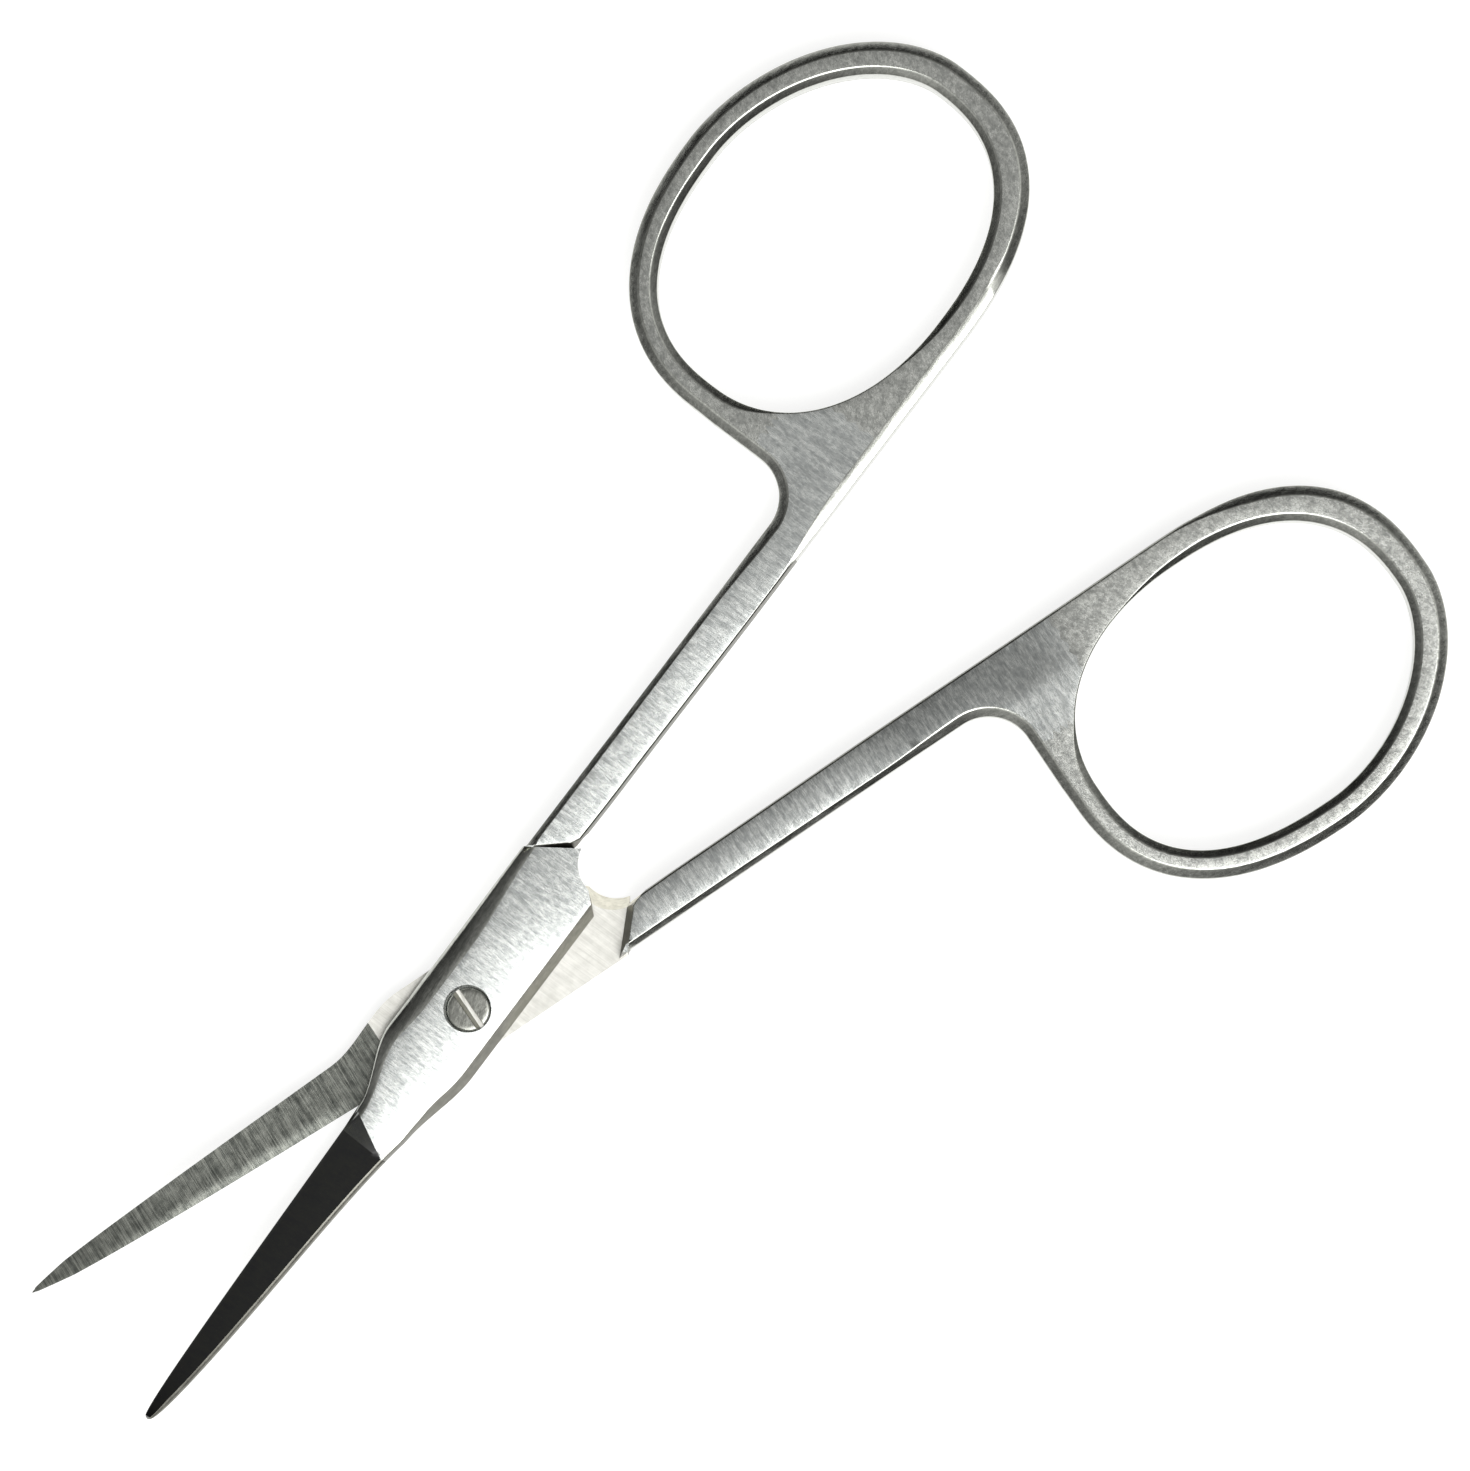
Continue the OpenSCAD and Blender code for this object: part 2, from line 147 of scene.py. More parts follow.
def brushed(name, dark, light, roughness, turn, length, width, blotch, depth, vary=0.06):
    """Steel finished with abrasive lines: turn is their direction in degrees, and
    length, width and blotch are the sizes of lines and cloudy patches in mm. Real
    belt lines are 0.01 to 0.02 mm wide, too fine for the render, so they are drawn
    two to five times as coarse. Depth is how deep they look, in mm."""
    material = bpy.data.materials.new(name)
    material.use_nodes = True
    tree = material.node_tree
    shader = tree.nodes["Principled BSDF"]
    shader.inputs["Metallic"].default_value = 1
    place = node(tree, "ShaderNodeAttribute", attribute_name="drawn").outputs["Vector"]
    turned = node(tree, "ShaderNodeMapping", {
        0: place, "Rotation": (0, 0, -math.radians(turn))}).outputs[0]
    along = node(tree, "ShaderNodeMapping", {
        0: turned, "Scale": (1 / length, 1 / width, 1 / width)})
    lines = node(tree, "ShaderNodeTexNoise", {
        "Vector": along.outputs[0], "Scale": 1, "Detail": 4, "Roughness": 0.65})
    # streaks three times as long and four times as broad lie under the fine lines
    long = node(tree, "ShaderNodeMapping", {
        0: turned, "Scale": (0.3 / length, 0.25 / width, 0.25 / width)})
    streaks = node(tree, "ShaderNodeTexNoise", {
        "Vector": long.outputs[0], "Scale": 1, "Detail": 3, "Roughness": 0.6})
    cloud = node(tree, "ShaderNodeTexNoise", {
        "Vector": place, "Scale": 1 / blotch, "Detail": 4, "Roughness": 0.6})
    both = node(tree, "ShaderNodeMath", {
        0: lines.outputs["Fac"], 1: streaks.outputs["Fac"]}, operation="ADD")
    three = node(tree, "ShaderNodeMath", {
        0: both.outputs[0], 1: cloud.outputs["Fac"]}, operation="ADD")
    tone = node(tree, "ShaderNodeMapRange", {
        "Value": three.outputs[0], "From Min": 1.2, "From Max": 1.8})
    colour = node(tree, "ShaderNodeMix", {
        "Factor": tone.outputs[0], 6: linear(dark), 7: linear(light)}, data_type="RGBA")
    tree.links.new(colour.outputs[2], shader.inputs["Base Color"])
    rough = node(tree, "ShaderNodeMapRange", {
        "Value": both.outputs[0], "From Min": 0.7, "From Max": 1.3,
        "To Min": roughness - vary, "To Max": roughness + vary})
    tree.links.new(rough.outputs[0], shader.inputs["Roughness"])
    bump = node(tree, "ShaderNodeBump", {
        "Height": both.outputs[0], "Strength": 1.0, "Distance": depth * MM})
    tree.links.new(bump.outputs[0], shader.inputs["Normal"])
    return material


def steels():
    """The finishes of the scissors, each named for how its face was worked; some colours also
    carry painted shade or a painted highlight.
    """
    return {
        # flat faces of block, shank and web, dressed across on a fine belt: soft sheen
        "satin": brushed("cross_brushed_satin_steel", "#b4b8b7", "#dcdedb", roughness=0.25,
                         turn=90, length=0.3, width=0.05, blotch=0.3, depth=0.0018),
        # rounded edges, mopped by hand over the forged surface: darker, softly bright
        "swept": brushed("mopped_steel_edges", "#a3a59f", "#c9cac4", roughness=0.2,
                         turn=5, length=0.5, width=0.06, blotch=0.25, depth=0.002),
        # narrow flat of the ring bars, rubbed down by hand: speckled grain
        "bar": brushed("rubbed_ring_steel", "#a9aba7", "#d3d4cf", roughness=0.25,
                       turn=60, length=0.12, width=0.07, blotch=0.3, depth=0.003),
        # outer face of the blades, ground on a glazed wheel until it mirrors the dark; its base
        # colour is also lowered, painted shade that deepens that dark reflection
        "mirror": brushed("mirror_ground_steel", "#86878a", "#94958f", roughness=0.1, vary=0.03,
                          turn=95, length=2.0, width=0.06, blotch=0.8, depth=0.0004),
        # inner face of the blades, ground straight across: grey with long bright lines
        "ground": brushed("cross_ground_blade_steel", "#555854", "#94968f", roughness=0.26,
                          turn=92, length=1.8, width=0.05, blotch=0.5, depth=0.006),
        # ride where the halves slide on each other, lapped: pale and even; the same pale finish is
        # the painted highlight in the screw's slot
        "ride": brushed("lapped_ride_and_slot_highlight", "#d6d5ce", "#f0efe9", roughness=0.44,
                        turn=70, length=1.5, width=0.07, blotch=0.6, depth=0.003),
        # drafted forging sides, dressed down lightly, their grey darkened as painted shade from
        # the floor close under them
        "wall": brushed("forging_sides_painted_shade", "#72716a", "#8f8e86", roughness=0.42,
                        turn=0, length=0.6, width=0.1, blotch=0.4, depth=0.003),
        # scallop cut by a round-nosed wheel: cream, with short marks
        "scooped": brushed("wheel_ground_steel", "#cfccbd", "#efecde", roughness=0.34,
                           turn=40, length=0.2, width=0.1, blotch=0.4, depth=0.004),
        # turned and lightly polished head of the screw: greyer than the halves
        "screw": brushed("turned_screw_steel", "#8f908a", "#b4b5ae", roughness=0.25,
                         turn=30, length=0.25, width=0.08, blotch=0.25, depth=0.001),
    }


STEEL = steels()
FINISHES = list(STEEL)
SATIN, SWEPT, BAR, MIRROR, GROUND, RIDE, WALL, SCOOPED, SCREW = range(len(FINISHES))


# --- Small mesh tools -----------------------------------------------------------
def rounded(corners):
    """A line through corners (x, y, radius, steps), each turned into an arc."""
    line = [Vector(corners[0][:2])]
    for before, here, after in zip(corners, corners[1:], corners[2:]):
        p = Vector(here[:2])
        a, b = (Vector(before[:2]) - p), (Vector(after[:2]) - p)
        half = a.angle(b) / 2
        reach = min(here[2] / math.tan(half), a.length * 0.49, b.length * 0.49)
        radius = reach * math.tan(half)
        centre = p + (a.normalized() + b.normalized()).normalized() * radius / math.sin(half)
        start, end = p + a.normalized() * reach - centre, p + b.normalized() * reach - centre
        sweep = start.angle_signed(end)
        for i in range(here[3] + 1):
            spin = Matrix.Rotation(-sweep * i / here[3], 2)
            line.append(centre + spin @ start)
    line.append(Vector(corners[-1][:2]))
    return line


def loft(bm, rings, finish=None):
    """Quads through rings of equally many points, and a face at either end."""
    made = [[bm.verts.new(p) for p in ring] for ring in rings]
    n = len(rings[0])
    for i, (a, b) in enumerate(zip(made, made[1:])):
        for j in range(n):
            face = bm.faces.new((a[j], b[j], b[(j + 1) % n], a[(j + 1) % n]))
            face.material_index = finish(i, j) if finish else 0
    bm.faces.new(made[0])
    bm.faces.new(list(reversed(made[-1])))


def cut(bm, at, normal, finish):
    """Takes away all that lies beyond a plane, and closes the cut with a face so finished."""
    whole = bm.verts[:] + bm.edges[:] + bm.faces[:]
    done = bmesh.ops.bisect_plane(bm, geom=whole, plane_co=at, plane_no=normal,
                                  clear_outer=True, dist=1e-5)
    edges = [e for e in done["geom_cut"] if isinstance(e, bmesh.types.BMEdge)]
    for face in bmesh.ops.holes_fill(bm, edges=edges)["faces"]:
        face.material_index = finish


def toward(turn, tilt):
    """Unit direction turned about w, then tilted up from the plan."""
    a, b = math.radians(turn), math.radians(tilt)
    return Vector((math.cos(b) * math.cos(a), math.cos(b) * math.sin(a), math.sin(b)))


def lathe(bm, profile, steps=96):
    """A closed solid of revolution about w, from (radius, height) points."""
    rings = []
    for r, w in profile:
        turns = [2 * math.pi * i / steps for i in range(steps)]
        rings.append([(r * math.cos(a), r * math.sin(a), w) for a in turns])
    loft(bm, rings)


def as_object(name, bm, sharp=26):
    """Turns a finished bmesh into an object with every finish, smooth up to the sharp angle."""
    bmesh.ops.recalc_face_normals(bm, faces=bm.faces)
    mesh = bpy.data.meshes.new(name)
    bm.to_mesh(mesh)
    bm.free()
    for key in FINISHES:
        mesh.materials.append(STEEL[key])
    mesh.shade_smooth()
    mesh.set_sharp_from_angle(angle=math.radians(sharp))
    obj = bpy.data.objects.new(name, mesh)
    bpy.context.scene.collection.objects.link(obj)
    return obj


def placed(obj, place):
    """Lays a piece drawn in mm in the shared frame; its finishes still follow it as drawn."""
    drawn = obj.data.attributes.new("drawn", "FLOAT_VECTOR", "POINT")
    for spot, v in zip(drawn.data, obj.data.vertices):
        spot.vector = v.co
    obj.data.transform(place)
    return obj


def carve(obj, cutter):
    """Takes the cutter out of the piece, for good."""
    tool = obj.modifiers.new("cut", "BOOLEAN")
    tool.operation, tool.solver, tool.object = "DIFFERENCE", "EXACT", cutter
    bpy.context.view_layer.update()
    done = obj.evaluated_get(bpy.context.evaluated_depsgraph_get())
    shape = bpy.data.meshes.new_from_object(done)
    obj.modifiers.clear()
    old, obj.data = obj.data, shape
    bpy.data.meshes.remove(old)
    bpy.data.objects.remove(cutter)


# --- Blade and joint block ------------------------------------------------------
def taper(u):
    """0 at the heel of the blade, 1 at its tip."""
    return min(1.0, max(0.0, (-u - HEEL_U) / (BLADE_REACH - HEEL_U)))


def edge_side(side, u):
    """Distance of the cutting side from the centre line."""
    t = 1 - taper(u)
    blade = TIP_W / 2 + (HEEL_EDGE - TIP_W / 2) * t**EDGE_FULLNESS + side * TIP_LEAN * taper(u)
    return mix(blade, BLOCK_SIDE, ease(-HEEL_U, -3.4, u))


def back_side(side, u):
    """Distance of the blade's back from the centre line."""
    t = 1 - taper(u)
    heel, flare, fullness = BACKS[side]
    blade = TIP_W / 2 + (heel - flare - TIP_W / 2) * t**fullness
    blade += flare * t**FLARE_FADE - side * TIP_LEAN * taper(u)
    return mix(blade, BLOCK_SIDE, ease(-HEEL_U - 0.2, -3, u))


SWEEP_STEPS, TOP_STEPS, BACK_STEPS, FLOOR_STEPS = 10, 12, 6, 14


def quarter(p, q, steps):
    """Quarter of an ellipse from p, upright there, to q, level there."""
    turns = [math.radians(90 * i / steps) for i in range(steps + 1)]
    return [Vector((q[0] + (p[0] - q[0]) * math.cos(a), p[1] + (q[1] - p[1]) * math.sin(a)))
            for a in turns]


def block_profile(e, b, u):
    """The block from its cutting side e over the crowned top to its far side b."""
    sweep = mix(NECK_SWEEP, BLOCK_SWEEP, ease(-7.5, -1, u)) - STEP_SWEEP_LESS * ease(3, 9.5, u)
    sweep = min(sweep, e * 0.5)
    draft = mix(NECK_DRAFT, BLOCK_DRAFT, ease(-8, -5, u)) * min(1, b / 1.5)
    crown = BLOCK_CROWN * min(1, b / 2) * (1 - STEP_CROWN_LESS * ease(3, 9, u))
    line = quarter((e, BLOCK_T - SWEEP_HEIGHT * sweep), (e - sweep, BLOCK_T), SWEEP_STEPS)
    for i in range(1, TOP_STEPS + 1):
        x = i / TOP_STEPS
        line.append(Vector((mix(e - sweep, -b + draft + SOFT_EDGE, x),
                            BLOCK_T - crown * mix(x, x**2, CROWN_CURVE))))
    low = line[-1]
    for i in range(1, BACK_STEPS):
        a = math.radians(SOFT_TURN * i / (BACK_STEPS - 1))
        line.append(low - SOFT_EDGE * Vector((math.sin(a), 1 - math.cos(a))))
    return line + [Vector((-b, FLOOR))]


def blade_profile(e, b, t):
    """The blade from its cutting edge e over the ground facet to its back b."""
    back_t = mix(TIP_T, HEEL_T, t**0.8) - SNUG
    back_r = min(BACK_ROUND, b * 0.5)
    line = quarter((e, FLOOR + 0.05), (e - EDGE_ROUND, EDGE_T), SWEEP_STEPS)
    for i in range(1, TOP_STEPS + 1):
        x = i / TOP_STEPS
        line.append(Vector((mix(e - EDGE_ROUND, -b + back_r, x),
                            mix(EDGE_T, back_t, x) + HOLLOW * t * x * (1 - x))))
    for i in range(1, BACK_STEPS):
        a = math.radians(90 * i / (BACK_STEPS - 1))
        line.append(Vector((-b + back_r * (1 - math.sin(a)),
                            back_t - back_r * 1.4 * (1 - math.cos(a)))))
    return line + [Vector((-b, FLOOR))]


def section(side, u, lean, ground, shrink):
    """One section across blade (ground 1) or block (ground 0), round from the edge."""
    e = edge_side(side, u + lean * edge_side(side, u)) * shrink
    b = back_side(side, u - lean * back_side(side, u)) * shrink
    t = 1 - taper(u)
    line = [p.lerp(q, ground) for p, q in zip(block_profile(e, b, u), blade_profile(e, b, t))]
    for i in range(1, FLOOR_STEPS + 1):
        x = i / FLOOR_STEPS
        fall = max(0, x - INNER_FALL_FROM) / (1 - INNER_FALL_FROM)
        line.append(Vector((mix(-b, e, x),
                            FLOOR + INNER_FALL * ground * fall**1.6 * min(1, 2 * t))))
    if ground:
        line[-1].y = min(line[-1].y, line[0].y - 0.005)
    return [in_half(side, u + lean * p.x, p.x, p.y) for p in line]


def blade_and_block(side):
    """Blade and joint block, lofted through sections from the tip to under the shank."""
    bm = bmesh.new()
    least, slim = TIP_LEAST[side], TIP_SLIM[side]
    stations = [(-BLADE_REACH + TIP_ROUND * (1 - math.cos(a)), 0, 1, mix(least, slim, math.sin(a)))
                for a in (math.radians(15 * i) for i in range(7))]
    first = stations[-1][0]
    for i in range(1, 91):
        u = mix(first, FACET_FOOT, (i / 90) ** 1.1)
        full = min(1, (u + BLADE_REACH) / TIP_STRETCH) ** 0.5
        stations.append((u, 0, 1, mix(slim, 1, full)))
    on_blade = len(stations)
    for i in range(41):
        u = mix(HEEL_LINE, -3.0, i / 40)
        stations.append((u, HEEL_LEAN * (1 - ease(HEEL_LINE, -6.5, u)), 0, 1))
    stations += [(mix(-3, BLOCK_END, i / 20), 0, 0, 1) for i in range(1, 21)]

    def finish(i, j):
        on_top = j < SWEEP_STEPS + TOP_STEPS
        if j > SWEEP_STEPS + TOP_STEPS + BACK_STEPS - 1:
            return GROUND if stations[i + 1][0] < CREASE else RIDE
        if i < on_blade:
            return MIRROR if on_top else WALL
        if j < SWEEP_STEPS:
            return SWEPT
        return SATIN if on_top else WALL

    loft(bm, [section(side, *s) for s in stations], finish)
    shift = side * PIVOT_OFFSET
    under_step = Vector((STEP_FOOT[0] + STEP_RUN, STEP_FOOT[1] + shift, 0))
    cut(bm, under_step, toward(STEP_ANGLE, 0), WALL)
    stop_u = SHOULDER_U - SHOULDER_GAP / math.sin(math.radians(SHOULDER_ANGLE))
    cut(bm, Vector((stop_u, -BLOCK_SIDE + shift, 0)), toward(SHOULDER_ANGLE - 90, 0), WALL)
    return bm


def scallop(side):
    """Round-nosed grinding cut in the corner between block and shank."""
    bm = bmesh.new()
    rings = []
    for u, s, w in SCALLOP_MIDS:
        turns = [math.radians(a) for a in range(0, 360, 5)]
        rings.append([(u + SCALLOP_R * math.cos(a),
                       s + side * PIVOT_OFFSET + SCALLOP_R * math.sin(a), w) for a in turns])
    loft(bm, rings, lambda i, j: SCOOPED)
    return bm


# --- Shank and finger ring ------------------------------------------------------
def egg(near, far, b, squareness, degrees):
    """Point of an egg-shaped ring about its widest place."""
    n = squareness[int((degrees % 360) // 90)]
    c, d = math.cos(math.radians(degrees)), math.sin(math.radians(degrees))
    return Vector((math.copysign(abs(c) ** (2 / n), c) * (near if c < 0 else far),
                   math.copysign(abs(d) ** (2 / n), d) * b))


# How an edge is finished: the wall's lean from mid height up, then the bevel's width
# and height, and the radii at its foot and at its crest
DRAFTED = np.array([0.05, 0.32, 0.29, 0.05, 0.10])
INNER_EDGE = np.array([0.10, 0.08, 0.08, 0.03, 0.06])
TURNED = np.array([0.03, 0.50, 0.42, 0.08, 0.22])
BAR_OUT = np.array([0.02, 0.52, 0.42, 0.10, 0.26])
BAR_IN = np.array([0.02, 0.42, 0.34, 0.08, 0.22])
GROUND_AWAY = np.array([0.04, 0.62, 0.045, 0.05, 1.2])
CRISP = np.array([0.02, 0.06, 0.06, 0.02, 0.05])
SHOULDER = np.array([0.42, 0.04, 0.04, 0.02, 0.04])
RING_START = RING_END - RING_L
RING_U, RING_S = RING_START + RING_TO_WIDEST, SHANK_IN - RING_TUCK + RING_W / 2
HOLE_U = RING_U + 0.1
VERTEX_U = SHOULDER_U + (SHANK_OUT - VERTEX_S) / math.tan(math.radians(SHOULDER_ANGLE))


def far_end(side):
    """End of the ring: the lower half's is a little shorter."""
    return RING_END if side == UPPER else RING_END - RING_SHORTER


def inner_side_edge(side, u):
    """Edge finish along the inner side, from the ring to the shank: the upper half's
    is ground away shallow beside the web, and the lower half's is left crisp there."""
    if side == UPPER:
        by_web = mix(BAR_OUT, GROUND_AWAY, ease(53, 50.5, u))
    else:
        by_web = mix(BAR_OUT, INNER_EDGE, ease(54, 48, u))
    return mix(by_web, INNER_EDGE, ease(36, 30, u))


def outer_line(side):
    """Outline of shank and ring as (u, s, edge finish), round from the shoulder."""
    line = [(SHOULDER_U, SHANK_OUT + SHOULDER_OUT, SHOULDER)]
    crotch_u, crotch_s = RING_START - CROTCH_TUCK - CROTCH_R, SHANK_OUT + CROTCH_R
    for i in range(1, 29):
        x = i / 29
        u = mix(SHOULDER_U, crotch_u, x)
        s = SHANK_OUT + SHOULDER_SPREAD * (1 - x) - WAVER * math.sin(math.pi * x)
        line.append((u, s, mix(DRAFTED, TURNED, ease(27, 32.4, u))))
    for i in range(25):
        a = math.radians(-90 + 90 * i / 24)
        line.append((crotch_u + CROTCH_R * math.cos(a), crotch_s + CROTCH_R * math.sin(a), TURNED))
    for i in range(1, 6):
        line.append((RING_START - RING_TUCK, mix(crotch_s, RING_SIDE_S, i / 6),
                     mix(TURNED, BAR_OUT, i / 6)))
    for i in range(181):
        a = 180 - 270 * i / 180
        p = egg(RING_TO_WIDEST, far_end(side) - RING_U, RING_W / 2, RING_SQUARE, a)
        finish = BAR_OUT if a > 0 else inner_side_edge(side, RING_U + p.x)
        line.append((RING_U + p.x, RING_S + p.y, finish))
    for i in range(1, 40):
        x = i / 40
        u = mix(RING_U, RELIEF_U, x)
        s = SHANK_IN + RELIEF * ease(30, RELIEF_U, u) - RING_TUCK * ease(36, RING_U, u)
        line.append((u, s + WAVER * math.sin(math.pi * x), inner_side_edge(side, u)))
    for i in range(1, 5):
        line.append((mix(RELIEF_U, VERTEX_U, i / 5), mix(SHANK_IN + RELIEF, VERTEX_S, i / 5),
                     INNER_EDGE))
    for i in range(8):
        line.append((mix(VERTEX_U, SHOULDER_U, i / 8),
                     mix(VERTEX_S, SHANK_OUT + SHOULDER_OUT, i / 8), SHOULDER))
    return line


def hole_line(side):
    """Outline of the finger hole as (u, s, edge finish), crisp beside the web."""
    line = []
    near = HOLE_U - (RING_END - HOLE_FROM_END - HOLE_L)
    far = far_end(side) - HOLE_FROM_END - HOLE_U
    for i in range(200):
        a = 180 - 360 * i / 200
        p = egg(near, far, HOLE_W / 2, HOLE_SQUARE, a)
        web = ease(-80, -112, a) * (1 - ease(-150, -176, a))
        line.append((HOLE_U + p.x, RING_S + p.y, mix(BAR_IN, CRISP, web)))
    return line


def inward(line):
    """Unit directions into the material along a closed outline."""
    p = np.array([q[:2] for q in line])
    d = np.roll(p, -1, 0) - p
    d /= np.linalg.norm(d, axis=1)[:, None]
    d = d + np.roll(d, 1, 0)
    d /= np.linalg.norm(d, axis=1)[:, None]
    return np.stack([d[:, 1], -d[:, 0]], 1)


def edge_profile(finish):
    """(inset, height) points from mid height up to the flat face."""
    lean, across, down, foot_r, crest_r = finish
    lean += SNUG
    return rounded([(SNUG, 0, 0, 0), (lean, HALF_T - down, foot_r, 3),
                    (lean + across, HALF_T, crest_r, 6), (lean + across + 0.4, HALF_T, 0, 0)])[:-1]


# Faces of the shanks after belting: tilt across in degrees, near the block and near
# the web, the stretch over which it changes, and fall of the crown toward either edge
BELT_TILT = {UPPER: (3.0, 0), LOWER: (0.6, 5.0)}
BELT_CHANGE = {UPPER: (22, 34), LOWER: (24, 31)}
BELT_CROWN = {UPPER: 0.012, LOWER: 0.045}


def dressed_down(side, u, s, w):
    """Height of a point once its face has been belted: slightly crowned, never quite level."""
    near = ease(0.6, 1, abs(w) / HALF_T)
    x = min(1.2, max(-0.2, (s - SHANK_IN) / (SHANK_OUT - SHANK_IN)))
    tilt = mix(*BELT_TILT[side], ease(*BELT_CHANGE[side], u)) * (1 - ease(37, 42, u))
    drop = math.tan(math.radians(tilt)) * (SHANK_OUT - SHANK_IN) * (1.2 - x)
    crown = BELT_CROWN[side] * (2 * x - 1) ** 2 * ease(8, 12, u) * (1 - ease(30, 38, u))
    return w - math.copysign(1, w) * (drop + crown) * near


def shank_and_ring(side):
    """Shank, web and ring: both outlines' walls and bevels, and the two flat faces."""
    bm = bmesh.new()
    rims = []
    for line, sign in ((outer_line(side), 1), (hole_line(side), -1)):
        into = inward(line) * sign
        columns, plain = [], []
        for (u, s, finish), d in zip(line, into):
            up = edge_profile(finish)
            pts = [(u + d[0] * p.x, s + d[1] * p.x, p.y) for p in reversed(up)]
            pts += [(q[0], q[1], -q[2]) for q in reversed(pts[:-1])]
            columns.append([bm.verts.new(q) for q in pts])
            plain.append(finish[0] > 0.08)
        n, m = len(columns), len(columns[0])
        for i in range(n):
            a, b = columns[i], columns[(i + 1) % n]
            for j in range(m - 1):
                face = bm.faces.new((a[j], a[j + 1], b[j + 1], b[j]))
                on_wall = m // 2 - 3 <= j <= m // 2 + 1
                face.material_index = WALL if plain[i] and on_wall else SWEPT
        rims.append(columns)
    fill_face(bm, rims, 0)
    fill_face(bm, rims, -1)
    for v in bm.verts:
        v.co.z = dressed_down(side, *v.co)
    return bm


# Inner points of the flat faces: where they start, how far apart, how far from the rims
SPOTS_FROM, SPOTS_APART, SPOT_CLEAR = (9.6, 0.35), (0.5, 0.45), 0.25


def fill_face(bm, rims, row):
    """Closes the flat face between the outer rim and the hole with even triangles."""
    loops = [[c[row] for c in rim] for rim in rims]
    verts, edges = [], []
    for loop in loops:
        first = len(verts)
        verts += loop
        edges += [(first + i, first + (i + 1) % len(loop)) for i in range(len(loop))]
    w = verts[0].co.z
    flat = [v.co.xy for v in verts]
    rim, hole = np.array(flat[:len(loops[0])]), np.array(flat[len(loops[0]):])
    spots = []
    for i in range(100):
        for j in range(44):
            p = Vector((SPOTS_FROM[0] + SPOTS_APART[0] * (i + j % 2 / 2),
                        SPOTS_FROM[1] + SPOTS_APART[1] * j))
            clear = min(np.hypot(*(rim - p).T).min(), np.hypot(*(hole - p).T).min())
            if inside(p, rim) and not inside(p, hole) and clear > SPOT_CLEAR:
                spots.append(p)
    out, _, faces, origin, _, _ = delaunay_2d_cdt(flat + spots, edges, [], 0, 1e-7)
    known = {}
    for i, sources in enumerate(origin):
        old = [k for k in sources if k < len(verts)]
        known[i] = verts[old[0]] if old else bm.verts.new((*out[i], w))
    for f in faces:
        mid = sum((Vector(out[i]) for i in f), Vector((0, 0))) / len(f)
        if inside(mid, rim) and not inside(mid, hole):
            face = bm.faces.new([known[i] for i in f])
            on_ring = mid.x > 40 or mid.y > 6
            face.material_index = BAR if on_ring else SATIN


def inside(p, polygon):
    """Whether a point lies inside a closed outline, by counting the sides it looks across."""
    x, y = polygon[:, 0], polygon[:, 1]
    x2, y2 = np.roll(x, -1), np.roll(y, -1)
    with np.errstate(divide="ignore", invalid="ignore"):
        crosses = ((y > p.y) != (y2 > p.y)) & (p.x < (x2 - x) * (p.y - y) / (y2 - y) + x)
    return bool(np.count_nonzero(crosses) % 2)


def half(side, name):
    """One half as a piece: blade and block, then shank and ring, in one mesh."""
    bm = shank_and_ring(side)
    for v in bm.verts:
        v.co = in_half(side, *v.co)
    slope = 90 - math.degrees(math.atan((HALF_T - BLOCK_T) / STEP_RUN))
    foot = Vector((STEP_FOOT[0], STEP_FOOT[1] + side * PIVOT_OFFSET, BLOCK_T))
    cut(bm, foot, toward(STEP_ANGLE + 180, slope), RIDE)
    handle = as_object(name + "_handle", bm)
    body = as_object(name, blade_and_block(side))
    bore = bmesh.new()
    if side == UPPER:
        seat, mouth = BLOCK_T - HEAD_SINK - HEAD_T - FLOOR, BLOCK_T - 0.14
        inner, r, flare = JOURNAL_D / 2 + RUNNING, HEAD_D / 2 + RUNNING, 0.24
        lathe(bore, [(inner, -1), (inner, seat), (r, seat), (r, mouth),
                     (r + flare, BLOCK_T + 0.1), (r + flare, 3)])
    else:
        mouth, r, flare = BLOCK_T - 0.1, THREAD_D / 2, 0.2
        lathe(bore, [(r, -1), (r, mouth), (r + flare, BLOCK_T + 0.1), (r + flare, 3)])
    carve(body, as_object("bore", bore))
    for part in (body, handle):
        carve(part, as_object("scallop", scallop(side)))
    joined = bmesh.new()
    joined.from_mesh(body.data)
    joined.from_mesh(handle.data)
    for o in (body, handle):
        bpy.data.objects.remove(o)
    return placed(as_object(name, joined), laid(side))


